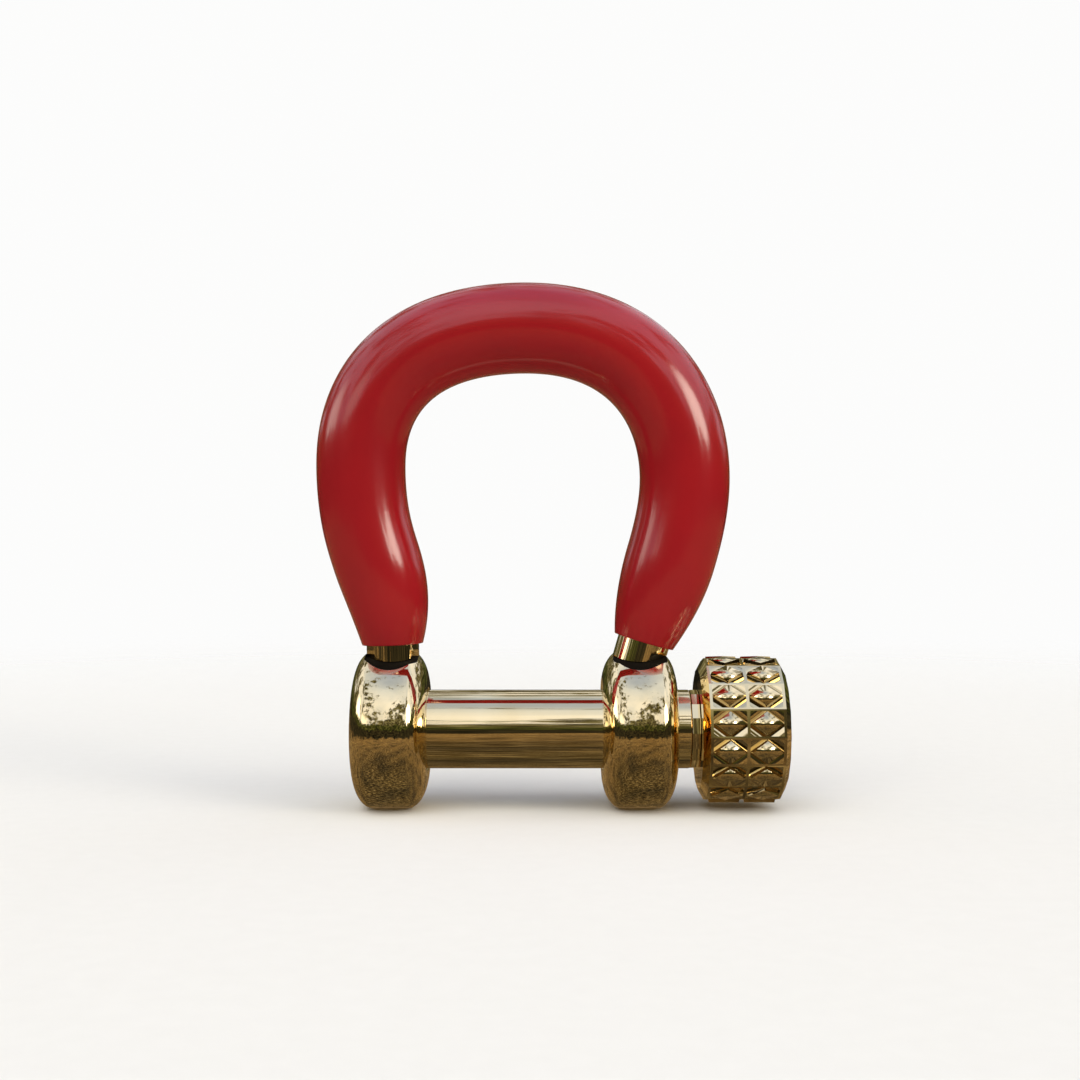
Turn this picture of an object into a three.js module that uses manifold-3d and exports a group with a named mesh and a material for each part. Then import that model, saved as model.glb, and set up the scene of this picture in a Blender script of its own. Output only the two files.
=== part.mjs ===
// A bow shackle: a bent rod in a thick red sleeve, two domed ears, and a pin that is
// screwed in by a studded knob. The screw runs inside a smooth barrel that seats in the
// left ear, and its threaded tip enters the tapped hole behind that seat. Millimetres,
// +Z up, +X along the pin towards the knob.

import * as THREE from 'three';
import { mergeVertices } from 'three/addons/utils/BufferGeometryUtils.js';
import Module from 'manifold-3d';

// ---------------------------------------------------------------- driving dimensions

const GAP = 0.3;                  // play between pieces that are let into each other
const FACE_GAP = 0.1;             // play between faces that bear on each other

const PIN_RADIUS = 8.0;
const EAR_RADIUS = 16.0;
const EAR_SPACING = 50.56;        // between the ears' middle planes
const EAR_LAND = 8.2;             // flat width of the ear's rim
const EAR_BULGE = 3.7;            // how far each side domes out past the rim
const EAR_RIM_POWER = 4.9;        // how late the dome falls away towards the rim
const EAR_CROWN_POWER = 1.6;      // how round it is where it falls away
const JAW_FACE_RADIUS = 10.6;     // flat spot face around the bore
const TAPPED_DEPTH = 12.5;        // blind hole in the left ear
const BARREL_SEAT = 2.0;          // counterbore in the left ear that takes the barrel's end

const ROD_RADIUS = 5.35;
const SLEEVE_RADIUS = 9.15;
const SLEEVE_END_RADIUS = 6.2;
const SLEEVE_TAPER = 18.0;        // length over which each end narrows
const SLEEVE_STARTS = [2.4, 2.0]; // along the rod above its left and right foot

const ROD_RUN_IN = 5.0;           // rod below its feet, before it is cut to the ears
const SPIGOT_RADIUS = 3.0;        // rod end inside the ear
const SPIGOT_DEPTH = 6.0;
const DOWEL_RADIUS = 1.25;
const DOWEL_HEIGHT = 13.0;        // above the pin axis
const DOWEL_PAST_MIDDLE = 4.0;

const BARREL_OVERHANG = 2.8;      // barrel past the right ear's spot face
const COLLAR_LENGTH = 1.6;
const KNOB_SIDES = 16;

const SCREW_RADIUS = 6.0;         // M12
const SCREW_PITCH = 1.75;
const SCREW_THREAD_DEPTH = 0.95;
const SCREW_TURNS = 6;
const THREAD_CREST = 0.15;        // share of the pitch's half that stays at full radius
const THREAD_FLANK = 0.7;         // share of it that slopes
const TIP_CHAMFER = 0.6;
const SHANK_RADIUS = 5.0;

const KNOB_RADIUS = 14.5;         // over the corners of the sixteen sides
const KNOB_LENGTH = 17.3;
const KNOB_CHAMFER = 1.2;         // along the axis
const KNOB_FACE_RADIUS = 12.3;
const STUD_PITCH = 7.2;
const STUD_TOP_RADIUS = 14.88;    // from the knob's axis
const STUD_BASE = [3.35, 2.6];    // half width along the axis, half height around it
const STUD_TOP = [2.67, 2.05];
const STUD_ROOT = 0.4;            // how far a stud starts under the knob's flat
const STUD_CROWN = 0.05;          // how far its middle stands over its corners
const DOWEL_SET_BACK = 0.2;       // dowel's end under the ear's surface

const SEAT_RADIUS = 4.5;          // D-shaped seat of the knob on the bolt
const SEAT_FLAT = 3.4;            // from the axis to the flat
const SEAT_LENGTH = 9.5;
const WEB = 2.4;                  // knob wall under the end screw's head
const CAP_SCREW = {
  radius: 3.0, tip: 0.5, head: 5.0, headLength: 4.4, edge: 0.4, hex: 2.9, hexDepth: 2.4, length: 12,
};

const GOLD = { color: 0xd9b45a, roughness: 0.08, metalness: 1.0 };
const DARK_STEEL = { color: 0x8d8f92, roughness: 0.3, metalness: 1.0 };
const RED = { color: 0x9b161b, roughness: 0.18, metalness: 0.0 };

// Places along X, counted from the middle between the ears.
const LEFT = -EAR_SPACING / 2;
const RIGHT = EAR_SPACING / 2;
const EAR_HALF = EAR_LAND / 2 + EAR_BULGE * crown(JAW_FACE_RADIUS);
const JAW_LEFT = LEFT + EAR_HALF;
const OUTER_RIGHT = RIGHT + EAR_HALF;
const BARREL_START = JAW_LEFT - BARREL_SEAT + FACE_GAP;
const BARREL_END = OUTER_RIGHT + BARREL_OVERHANG;
const COLLAR_START = BARREL_END + FACE_GAP;
const KNOB_START = COLLAR_START + COLLAR_LENGTH + FACE_GAP;
const KNOB_END = KNOB_START + KNOB_LENGTH;
const SEAT_END = KNOB_START + SEAT_LENGTH;
const THREAD_START = JAW_LEFT - TAPPED_DEPTH + 1.0;
const THREAD_END = THREAD_START + SCREW_TURNS * SCREW_PITCH;
const TRAVEL = SCREW_TURNS * SCREW_PITCH;
const AXIS_Z = EAR_RADIUS;

// ---------------------------------------------------------------- solids

const wasm = await Module();
wasm.setup();

// Signed volume of an indexed closed surface: negative where its faces point inwards.
function signedVolume(position, index) {
  const [a, b, c] = [new THREE.Vector3(), new THREE.Vector3(), new THREE.Vector3()];
  let sum = 0;
  for (let i = 0; i < index.length; i += 3) {
    a.fromBufferAttribute(position, index[i]);
    b.fromBufferAttribute(position, index[i + 1]);
    c.fromBufferAttribute(position, index[i + 2]);
    sum += a.dot(b.cross(c)) / 6;
  }
  return sum;
}

function toSolid(geometry) {
  const g = geometry.clone();
  for (const name of Object.keys(g.attributes)) if (name !== 'position') g.deleteAttribute(name);
  const merged = mergeVertices(g, 1e-4);
  const triangles = [];
  const all = merged.index.array;
  for (let i = 0; i < all.length; i += 3) {
    const [p, q, r] = [all[i], all[i + 1], all[i + 2]];
    if (p !== q && q !== r && r !== p) triangles.push(p, q, r);
  }
  if (signedVolume(merged.attributes.position, triangles) < 0) triangles.reverse();
  return new wasm.Manifold(new wasm.Mesh({
    numProp: 3,
    vertProperties: Float32Array.from(merged.attributes.position.array),
    triVerts: Uint32Array.from(triangles),
  }));
}

function toGeometry(solid) {
  const mesh = solid.getMesh();
  const g = new THREE.BufferGeometry();
  g.setAttribute('position', new THREE.BufferAttribute(Float32Array.from(mesh.vertProperties), 3));
  g.setIndex(new THREE.BufferAttribute(Uint32Array.from(mesh.triVerts), 1));
  g.computeVertexNormals();
  return g;
}

// A body turned about the X axis, from [x, radius] points that start and end on the axis.
function turned(profile, sides) {
  const points = profile.map(([x, r]) => new THREE.Vector2(r, x));
  const g = new THREE.LatheGeometry(points, sides);
  g.rotateZ(-Math.PI / 2);
  return g;
}

function cylinder(x0, x1, radius, sides = 32) {
  return turned([[x0, 0], [x0, radius], [x1, radius], [x1, 0]], sides);
}

function moved(geometry, x, y, z) {
  return geometry.clone().translate(x, y, z);
}

// ---------------------------------------------------------------- ears

// Share of the bulge that is left at radius r: 1 on the axis, 0 at the rim.
function crown(r) {
  return (1 - (r / EAR_RADIUS) ** EAR_RIM_POWER) ** (1 / EAR_CROWN_POWER);
}

// Half profile of an ear grown by extra on every side, as [x, radius] points.
function earProfile(extra = 0) {
  const radii = [JAW_FACE_RADIUS, 12, 13.2, 14.2, 15, 15.6, EAR_RADIUS];
  const side = radii.map((r) => [EAR_LAND / 2 + EAR_BULGE * crown(r) + extra, r + extra]);
  const face = EAR_HALF + extra;
  const right = [[face, 0], ...side];
  const left = right.map(([x, r]) => [-x, r]);
  return [...left, ...right.reverse()];
}

const EAR_SIDES = 36;

function earBlank(extra = 0) {
  return toSolid(turned(earProfile(extra), EAR_SIDES));
}

// A round hole or peg that points straight up from the ear's middle, tipped by lean.
function upright(radius, from, to, lean) {
  const g = new THREE.CylinderGeometry(radius, radius, to - from, 20);
  g.translate(0, (from + to) / 2, 0);
  g.rotateX(Math.PI / 2);
  g.rotateY(lean);
  return toSolid(g);
}

const SPIGOT_END = EAR_RADIUS - SPIGOT_DEPTH;
const SPIGOT_RUN_OUT = 3.0;       // socket and spigot past the ear's rim, into the rod

function ear({ side, lean, footShift }) {
  const socket = upright(SPIGOT_RADIUS + GAP, SPIGOT_END - GAP, EAR_RADIUS + SPIGOT_RUN_OUT, lean)
    .translate([footShift, 0, 0]);
  const past = DOWEL_PAST_MIDDLE + GAP;
  const dowelSpan = side < 0 ? [-EAR_HALF - 1, past] : [-past, EAR_HALF + 1];
  const dowelHole = toSolid(moved(cylinder(...dowelSpan, DOWEL_RADIUS + GAP, 16), 0, 0, DOWEL_HEIGHT));
  const solid = earBlank().subtract(socket).subtract(dowelHole);
  const wide = PIN_RADIUS + GAP;
  if (side > 0) return solid.subtract(toSolid(cylinder(-EAR_HALF - 1, EAR_HALF + 1, wide, EAR_SIDES)));
  const tapped = toSolid(cylinder(EAR_HALF - TAPPED_DEPTH, EAR_HALF + 1, SCREW_RADIUS + GAP, 32));
  const counterbore = toSolid(cylinder(EAR_HALF - BARREL_SEAT, EAR_HALF + 1, wide, EAR_SIDES));
  return solid.subtract(tapped).subtract(counterbore);
}

function dowel(side) {
  const flush = EAR_LAND / 2 + EAR_BULGE * crown(DOWEL_HEIGHT + DOWEL_RADIUS) - DOWEL_SET_BACK;
  const ends = side < 0 ? [-flush, DOWEL_PAST_MIDDLE] : [-DOWEL_PAST_MIDDLE, flush];
  return moved(cylinder(...ends, DOWEL_RADIUS, 16), 0, 0, DOWEL_HEIGHT);
}

// ---------------------------------------------------------------- bow

// The bow's middle line, in the plane y = 0: up the left leg, over the crown, down the
// right leg. The left leg stands upright on its ear and the right one leans outwards.
const RIGHT_LEAN = THREE.MathUtils.degToRad(14.5);
const LEFT_FOOT = [-25.0, 31.0];
const RIGHT_FOOT = [25.8, 32.0];
const LEFT_SHOULDER = [-31.65, 71.0];
const RIGHT_SHOULDER = [34.85, 67.3];
const CROWN = [2.5, 98.2];
const FOOT_PULL = [10.4 * Math.sin(RIGHT_LEAN), 10.4 * Math.cos(RIGHT_LEAN)];

function span([x0, z0], [a0, b0], [a1, b1], [x1, z1]) {
  return new THREE.CubicBezierCurve3(
    new THREE.Vector3(x0, 0, z0), new THREE.Vector3(x0 + a0, 0, z0 + b0),
    new THREE.Vector3(x1 + a1, 0, z1 + b1), new THREE.Vector3(x1, 0, z1),
  );
}

const BOW_SPANS = [
  span(LEFT_FOOT, [0, 20.5], [0, -21.2], LEFT_SHOULDER),
  span(LEFT_SHOULDER, [0, 7.6], [-31, 0], CROWN),
  span(CROWN, [22.5, 0], [0, 16], RIGHT_SHOULDER),
  span(RIGHT_SHOULDER, [0, -11.7], FOOT_PULL, RIGHT_FOOT),
];

// The same line run on straight at both ends by the given lengths, or cut short if negative.
function bowLine(extraLeft, extraRight) {
  const path = new THREE.CurvePath();
  BOW_SPANS.forEach((s) => path.add(s));
  const steps = 200;
  const length = path.getLength();
  const points = [];
  for (let i = 0; i <= steps; i += 1) {
    const s = -extraLeft + (i / steps) * (length + extraLeft + extraRight);
    const u = THREE.MathUtils.clamp(s / length, 0, 1);
    const p = path.getPointAt(u);
    p.addScaledVector(path.getTangentAt(u), s - u * length);
    points.push(p);
  }
  return new THREE.CatmullRomCurve3(points);
}

function ring(radius, sides) {
  const shape = new THREE.Shape();
  for (let i = 0; i < sides; i += 1) {
    const a = (2 * Math.PI * (i + 0.5)) / sides;
    if (i) shape.lineTo(radius * Math.cos(a), radius * Math.sin(a));
    else shape.moveTo(radius * Math.cos(a), radius * Math.sin(a));
  }
  shape.closePath();
  return shape;
}

// Where each leg of the rod meets its ear: which ear, how it leans, how far off centre.
const FEET = [
  { side: -1, ear: LEFT, lean: 0, shift: LEFT_FOOT[0] - LEFT },
  { side: 1, ear: RIGHT, lean: RIGHT_LEAN,
    shift: RIGHT_FOOT[0] - RIGHT - (RIGHT_FOOT[1] - AXIS_Z) * Math.tan(RIGHT_LEAN) },
];

function rod() {
  const line = bowLine(ROD_RUN_IN, ROD_RUN_IN);
  const bar = new THREE.ExtrudeGeometry(ring(ROD_RADIUS, 16), { extrudePath: line, steps: 40 });
  let solid = toSolid(bar);
  for (const foot of FEET) {
    solid = solid.subtract(earBlank(GAP).translate([foot.ear, 0, AXIS_Z]));
    const spigot = upright(SPIGOT_RADIUS, SPIGOT_END, EAR_RADIUS + SPIGOT_RUN_OUT, foot.lean);
    const hole = toSolid(cylinder(-SPIGOT_RADIUS - 2, SPIGOT_RADIUS + 2, DOWEL_RADIUS + GAP, 16));
    solid = solid.add(spigot.translate([foot.ear + foot.shift, 0, AXIS_Z]));
    solid = solid.subtract(hole.translate([foot.ear, 0, AXIS_Z + DOWEL_HEIGHT]));
  }
  return solid;
}

function sleeveRadius(fromEnd) {
  const narrowing = Math.max(0, 1 - fromEnd / SLEEVE_TAPER);
  return SLEEVE_RADIUS - (SLEEVE_RADIUS - SLEEVE_END_RADIUS) * narrowing ** 2;
}

// Index of the point in the list that is closest to p.
function nearest(list, p) {
  return list.reduce((best, c, k) => (c.distanceTo(p) < list[best].distanceTo(p) ? k : best), 0);
}

function sleeve() {
  const line = bowLine(-SLEEVE_STARTS[0], -SLEEVE_STARTS[1]);
  const section = ring(SLEEVE_RADIUS, 20);
  section.holes.push(ring(ROD_RADIUS + GAP, 16));
  const steps = 40;
  const g = new THREE.ExtrudeGeometry(section, { extrudePath: line, steps });
  const length = line.getLength();
  const centres = Array.from({ length: steps + 1 }, (_, i) => line.getPointAt(i / steps));
  const p = new THREE.Vector3();
  const position = g.attributes.position;
  for (let i = 0; i < position.count; i += 1) {
    p.fromBufferAttribute(position, i);
    const near = nearest(centres, p);
    const offset = p.clone().sub(centres[near]);
    if (offset.length() > (ROD_RADIUS + SLEEVE_RADIUS) / 2) {
      const at = (near / steps) * length;
      offset.setLength(sleeveRadius(Math.min(at, length - at)));
      p.copy(centres[near]).add(offset);
      position.setXYZ(i, p.x, p.y, p.z);
    }
  }
  return toSolid(g);
}

// ---------------------------------------------------------------- pin

function barrel() {
  const tube = toSolid(cylinder(BARREL_START, BARREL_END, PIN_RADIUS, EAR_SIDES));
  const bore = toSolid(cylinder(BARREL_START - 1, BARREL_END + 1, SHANK_RADIUS + GAP, 32));
  // The threaded tip draws back into this pocket as the screw is undone.
  const pocket = toSolid(cylinder(BARREL_START - 1, THREAD_END + TRAVEL + GAP, SCREW_RADIUS + GAP, 32));
  return tube.subtract(bore).subtract(pocket);
}

function collar() {
  const disc = toSolid(cylinder(COLLAR_START, COLLAR_START + COLLAR_LENGTH, PIN_RADIUS, KNOB_SIDES));
  const bore = toSolid(cylinder(COLLAR_START - 1, KNOB_START + 1, SHANK_RADIUS + GAP, 32));
  return disc.subtract(bore);
}

// Radius of a right-hand thread's surface at a place along and an angle around the axis.
function threadRadius(x, angle) {
  const turns = (x - THREAD_START) / SCREW_PITCH - angle / (2 * Math.PI);
  const wave = Math.abs(2 * (turns - Math.floor(turns)) - 1);
  const cut = THREE.MathUtils.clamp((wave - THREAD_CREST) / THREAD_FLANK, 0, 1);
  return SCREW_RADIUS - SCREW_THREAD_DEPTH * cut;
}

function bolt() {
  const rows = SCREW_TURNS * 5;
  const threaded = THREAD_END - THREAD_START - 2 * TIP_CHAMFER;
  const core = [[THREAD_START, 0], [THREAD_START, SHANK_RADIUS - TIP_CHAMFER]];
  for (let i = 0; i <= rows; i += 1) {
    core.push([THREAD_START + TIP_CHAMFER + (i / rows) * threaded, SCREW_RADIUS]);
  }
  core.push([THREAD_END, SHANK_RADIUS], [SEAT_END, SHANK_RADIUS], [SEAT_END, 0]);
  const g = turned(core, 24);
  const position = g.attributes.position;
  for (let i = 0; i < position.count; i += 1) {
    const [x, y, z] = [position.getX(i), position.getY(i), position.getZ(i)];
    if (Math.abs(Math.hypot(y, z) - SCREW_RADIUS) < 1e-3) {
      const k = threadRadius(x, Math.atan2(z, y)) / SCREW_RADIUS;
      position.setXYZ(i, x, y * k, z * k);
    }
  }
  const seatCut = toSolid(cylinder(KNOB_START, SEAT_END + 1, SHANK_RADIUS + 2, 24))
    .subtract(seat(SEAT_RADIUS, SEAT_FLAT, KNOB_START - 1, SEAT_END + 2));
  const screwHole = toSolid(cylinder(
    SEAT_END - CAP_SCREW.length + WEB, SEAT_END + 1, CAP_SCREW.radius + GAP, 20));
  return toSolid(g).subtract(seatCut).subtract(screwHole);
}

// D-shaped prism along X, with its flat on top.
function seat(radius, flat, x0, x1) {
  const round = toSolid(cylinder(x0, x1, radius, 32));
  const block = new THREE.BoxGeometry(x1 - x0 + 2, 4 * radius, 2 * radius);
  block.translate((x0 + x1) / 2, 0, flat + radius);
  return round.subtract(toSolid(block));
}

// A raised diamond on the flat between two corners of the knob, pointing along +Z.
function stud(x) {
  const outline = ([w, h]) => [[w, 0], [0, h], [-w, 0], [0, -h]];
  const flat = KNOB_RADIUS * Math.cos(Math.PI / KNOB_SIDES);
  const base = outline(STUD_BASE).map(([a, b]) => [x + a, b, flat - STUD_ROOT]);
  const top = outline(STUD_TOP).map(([a, b]) => [x + a, b, Math.sqrt(STUD_TOP_RADIUS ** 2 - b * b)]);
  const centre = [[x, 0, flat - STUD_ROOT], [x, 0, STUD_TOP_RADIUS + STUD_CROWN]];
  const g = new THREE.BufferGeometry();
  g.setAttribute('position', new THREE.Float32BufferAttribute([...base, ...top, ...centre].flat(), 3));
  const index = [];
  for (let i = 0; i < 4; i += 1) {
    const j = (i + 1) % 4;
    index.push(i, j, 4 + j, i, 4 + j, 4 + i, 8, j, i, 9, 4 + i, 4 + j);
  }
  g.setIndex(index);
  return toSolid(g);
}

function knob() {
  const profile = [
    [KNOB_START, 0], [KNOB_START, KNOB_FACE_RADIUS], [KNOB_START + KNOB_CHAMFER, KNOB_RADIUS],
    [KNOB_END - KNOB_CHAMFER, KNOB_RADIUS], [KNOB_END, KNOB_FACE_RADIUS], [KNOB_END, 0],
  ];
  let solid = toSolid(turned(profile, KNOB_SIDES));
  const middle = (KNOB_START + KNOB_END) / 2;
  for (const x of [middle - STUD_PITCH / 2, middle + STUD_PITCH / 2]) {
    for (let i = 0; i < KNOB_SIDES; i += 1) {
      solid = solid.add(stud(x).rotate([(360 * (i + 0.5)) / KNOB_SIDES, 0, 0]));
    }
  }
  return solid
    .subtract(seat(SEAT_RADIUS + GAP, SEAT_FLAT + GAP, KNOB_START - 1, SEAT_END + GAP))
    .subtract(toSolid(cylinder(SEAT_END, KNOB_END + 1, CAP_SCREW.radius + GAP, 20)))
    .subtract(toSolid(cylinder(SEAT_END + WEB, KNOB_END + 1, CAP_SCREW.head + GAP, 32)));
}

function endScrew() {
  const seatAt = SEAT_END + WEB + FACE_GAP;
  const tip = seatAt - CAP_SCREW.length;
  const top = seatAt + CAP_SCREW.headLength;
  const body = toSolid(turned([
    [tip, 0], [tip, CAP_SCREW.radius - CAP_SCREW.tip],
    [tip + CAP_SCREW.tip, CAP_SCREW.radius], [seatAt, CAP_SCREW.radius],
    [seatAt, CAP_SCREW.head], [top - CAP_SCREW.edge, CAP_SCREW.head],
    [top, CAP_SCREW.head - CAP_SCREW.edge], [top, 0],
  ], 24));
  const hex = toSolid(cylinder(top - CAP_SCREW.hexDepth, top + 1, CAP_SCREW.hex, 6));
  return body.subtract(hex);
}

// ---------------------------------------------------------------- assembly

const group = new THREE.Group();

function addPiece(name, shape, look, x = 0, z = 0) {
  const geometry = shape instanceof THREE.BufferGeometry ? shape : toGeometry(shape);
  const mesh = new THREE.Mesh(geometry, new THREE.MeshStandardMaterial({ name, ...look }));
  mesh.name = name;
  mesh.position.set(x, 0, z);
  group.add(mesh);
}

addPiece('bow_rod', rod(), GOLD);
addPiece('bow_sleeve', sleeve(), RED);
for (const foot of FEET) {
  const name = foot.side < 0 ? 'left_ear' : 'right_ear';
  addPiece(name, ear({ side: foot.side, lean: foot.lean, footShift: foot.shift }), GOLD, foot.ear, AXIS_Z);
  addPiece(`${name}_dowel`, dowel(foot.side), GOLD, foot.ear, AXIS_Z);
}
addPiece('pin_barrel', barrel(), GOLD, 0, AXIS_Z);
addPiece('thrust_collar', collar(), GOLD, 0, AXIS_Z);
addPiece('pin_bolt', bolt(), DARK_STEEL, 0, AXIS_Z);
addPiece('knob', knob(), GOLD, 0, AXIS_Z);
addPiece('knob_end_screw', endScrew(), DARK_STEEL, 0, AXIS_Z);

// The origin is at the bottom of the ears, under the middle of the whole object's length.
const box = new THREE.Box3().setFromObject(group, true);
group.position.x = -(box.min.x + box.max.x) / 2;
group.updateMatrixWorld(true);

export default group;
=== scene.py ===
"""Looks of the bow shackle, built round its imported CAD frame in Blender 4.5.

Pieces are drawn in millimetres. X runs along the pin towards the knob and starts in the
middle between the ears, Z starts on the floor, and turned pieces start on the pin's axis.
"""

import math

import bmesh
import bpy
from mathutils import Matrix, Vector


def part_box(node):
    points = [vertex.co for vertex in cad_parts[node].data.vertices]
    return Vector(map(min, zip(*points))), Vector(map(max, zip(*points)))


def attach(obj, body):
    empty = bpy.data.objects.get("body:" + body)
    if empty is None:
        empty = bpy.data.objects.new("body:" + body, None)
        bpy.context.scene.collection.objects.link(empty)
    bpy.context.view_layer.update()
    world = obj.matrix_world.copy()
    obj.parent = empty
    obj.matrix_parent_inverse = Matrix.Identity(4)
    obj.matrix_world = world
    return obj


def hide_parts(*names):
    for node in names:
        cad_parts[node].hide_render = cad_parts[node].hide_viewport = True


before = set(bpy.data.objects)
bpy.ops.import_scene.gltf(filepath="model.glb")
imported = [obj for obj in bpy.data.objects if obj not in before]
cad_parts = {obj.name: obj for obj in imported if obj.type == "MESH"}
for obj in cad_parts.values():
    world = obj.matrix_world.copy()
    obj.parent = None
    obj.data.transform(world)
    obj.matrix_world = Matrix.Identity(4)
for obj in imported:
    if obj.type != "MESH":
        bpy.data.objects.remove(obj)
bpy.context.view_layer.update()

MM = 0.001

# ---- places from the frame


def box_mm(node):
    """Lowest and highest corner of a CAD node, in millimetres."""
    low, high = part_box(node)
    return low / MM, high / MM


left_low, left_high = box_mm("left_ear")
right_low, right_high = box_mm("right_ear")

MIDDLE = (left_low.x + right_high.x) / 2
AXIS_Z = (left_low.z + left_high.z) / 2
EAR_RADIUS = (left_high.z - left_low.z) / 2
EAR_HALF = (left_high.x - left_low.x) / 2
LEFT = (left_low.x + left_high.x) / 2 - MIDDLE
RIGHT = (right_low.x + right_high.x) / 2 - MIDDLE


def stretch(node):
    """Where a CAD node starts and ends along the pin."""
    low, high = box_mm(node)
    return low.x - MIDDLE, high.x - MIDDLE


BARREL_START, BARREL_END = stretch("pin_barrel")
COLLAR_START, COLLAR_END = stretch("thrust_collar")
KNOB_START, KNOB_END = stretch("knob")
BOLT_START, BOLT_END = stretch("pin_bolt")
SCREW_START, SCREW_END = stretch("knob_end_screw")

# ---- sizes, in millimetres

GAP = 0.3
PIN_RADIUS = 8.0

EAR_LAND = 8.2
EAR_RIM_POWER = 4.9
EAR_CROWN_POWER = 1.6
EAR_RIM_SET_BACK = 0.05
BAND_LEAN = math.radians(13)  # lean of the flat band's shading at its edges
JAW_FACE_RADIUS = 10.6
TAPPED_DEPTH = 12.5
BARREL_SEAT = 2.0

ROD_RADIUS = 5.35
ROD_RUN_IN = 3.4
ROD_EDGE = 15.15  # from the pin's axis to the edge of the rod's bevelled foot
ROD_BEVEL = 0.3
POCKET_HALF = 5.4  # half of its width along the pin
POCKET_REACH = 4.15  # from the pin's axis to the middle of its front end
POCKET_FLOOR = 15.0
SLEEVE_RADIUS = 9.25
SLEEVE_LEFT_DIP = 0.27  # how much slimmer it is towards each foot, before the taper
SLEEVE_RIGHT_DIP = 0.09
SLEEVE_END_RADIUS = 6.2
SLEEVE_TAPER = 18.0
SLEEVE_STARTS = (2.4, 2.0)
SLEEVE_LIP = 0.3
SLEEVE_BORE = 5.42
SLEEVE_MOUTH_RADIUS = 5.85
SLEEVE_MOUTH_DEPTH = 5.0
SLEEVE_MOUTH_SLOPE = 0.6

SCREW_RADIUS = 6.0
SCREW_PITCH = 1.75
SCREW_TURNS = 6
THREAD_DEPTH = 0.95
THREAD_CREST = 0.12  # share of half a turn that stays at full radius
THREAD_FLANK = 0.76  # share of it that slopes
SHANK_RADIUS = 5.0
SEAT_RADIUS = 4.5
SEAT_FLAT = 3.4

KNOB_SIDES = 16
KNOB_RADIUS = 14.5
KNOB_FLAT = KNOB_RADIUS * math.cos(math.pi / KNOB_SIDES)  # from the axis to each side
KNOB_SIDE_HALF = KNOB_RADIUS * math.sin(math.pi / KNOB_SIDES)
KNOB_CHAMFER = 1.2
KNOB_FACE_RADIUS = 12.3
CELL = 7.2
STUD_HEIGHT = 0.66
STUD_TOP = (3.08, 2.34)
STUD_BASE = (3.30, 2.50)
PIT_DEPTH = 0.12
STUD_LEAN = math.radians(56)  # lean of a flat stud's shading at its tips
PIT_LEAN = math.radians(28)
PIT_LEAN_SHARES = (0.55, 0.835)  # along the knob and round it
RECESS_RADIUS = 5.3
RECESS_EDGE = 0.35
SCREW_HOLE_RADIUS = 3.3
SCREW_HEAD_LENGTH = 4.4

DOWEL_RADIUS = 1.25
DOWEL_HEIGHT = 13.0

# ---- mesh helpers


def add_object(name, data):
    """Puts a mesh, a light or a camera into the scene."""
    made = bpy.data.objects.new(name, data)
    bpy.context.scene.collection.objects.link(made)
    return made


def mesh_object(name, points, faces, sharp_degrees=32.0):
    """A smooth-shaded object from points in millimetres, with its sharp edges marked."""
    mesh = bpy.data.meshes.new(name)
    mesh.from_pydata([Vector(p) * MM for p in points], [], faces)
    bm = bmesh.new()
    bm.from_mesh(mesh)
    bmesh.ops.remove_doubles(bm, verts=bm.verts, dist=1e-7)
    bmesh.ops.recalc_face_normals(bm, faces=bm.faces)
    bm.to_mesh(mesh)
    bm.free()
    mesh.shade_smooth()
    if sharp_degrees:
        mesh.set_sharp_from_angle(angle=math.radians(sharp_degrees))
    return add_object(name, mesh)


def weigh_normals(piece):
    """Keeps flats flat beside narrow rounded edges."""
    weighted = piece.modifiers.new("weighted_normals", "WEIGHTED_NORMAL")
    weighted.mode = "FACE_AREA"
    weighted.weight = 80
    weighted.keep_sharp = True
    return piece


def settle_normals(piece, adjust):
    """Writes the evaluated normals into the mesh, apart from those that adjust changes."""
    shown = piece.evaluated_get(bpy.context.evaluated_depsgraph_get())
    normals = [corner.vector.copy() for corner in shown.to_mesh().corner_normals]
    shown.to_mesh_clear()
    piece.modifiers.clear()
    mesh = piece.data
    for face in mesh.polygons:
        for corner in face.loop_indices:
            place = mesh.vertices[mesh.loops[corner].vertex_index].co / MM
            better = adjust(face, place)
            if better is not None:
                normals[corner] = better
    mesh.normals_split_custom_set(normals)
    return piece


def loft(rings, joined_ends=False):
    """Points and faces of a skin over rings that all have the same number of points."""
    count = len(rings[0])
    points = [p for ring in rings for p in ring]
    faces = []
    last = len(rings) if joined_ends else len(rings) - 1
    for i in range(last):
        for j in range(count):
            a = i * count
            b = ((i + 1) % len(rings)) * count
            k = (j + 1) % count
            faces.append((a + j, a + k, b + k, b + j))
    if not joined_ends:
        faces.append(tuple(range(count)))
        faces.append(tuple(range((len(rings) - 1) * count, len(rings) * count)))
    return points, faces


def ring_x(x, radius_at, sides):
    """A ring of points round the pin's axis, its radius given for each angle."""
    ring = []
    for j in range(sides):
        angle = 2 * math.pi * j / sides
        radius = radius_at(angle)
        ring.append((x + MIDDLE, radius * math.sin(angle), AXIS_Z + radius * math.cos(angle)))
    return ring


def circle_x(x, radius, sides):
    """A round ring of points round the pin's axis."""
    return ring_x(x, lambda angle: radius, sides)


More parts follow.
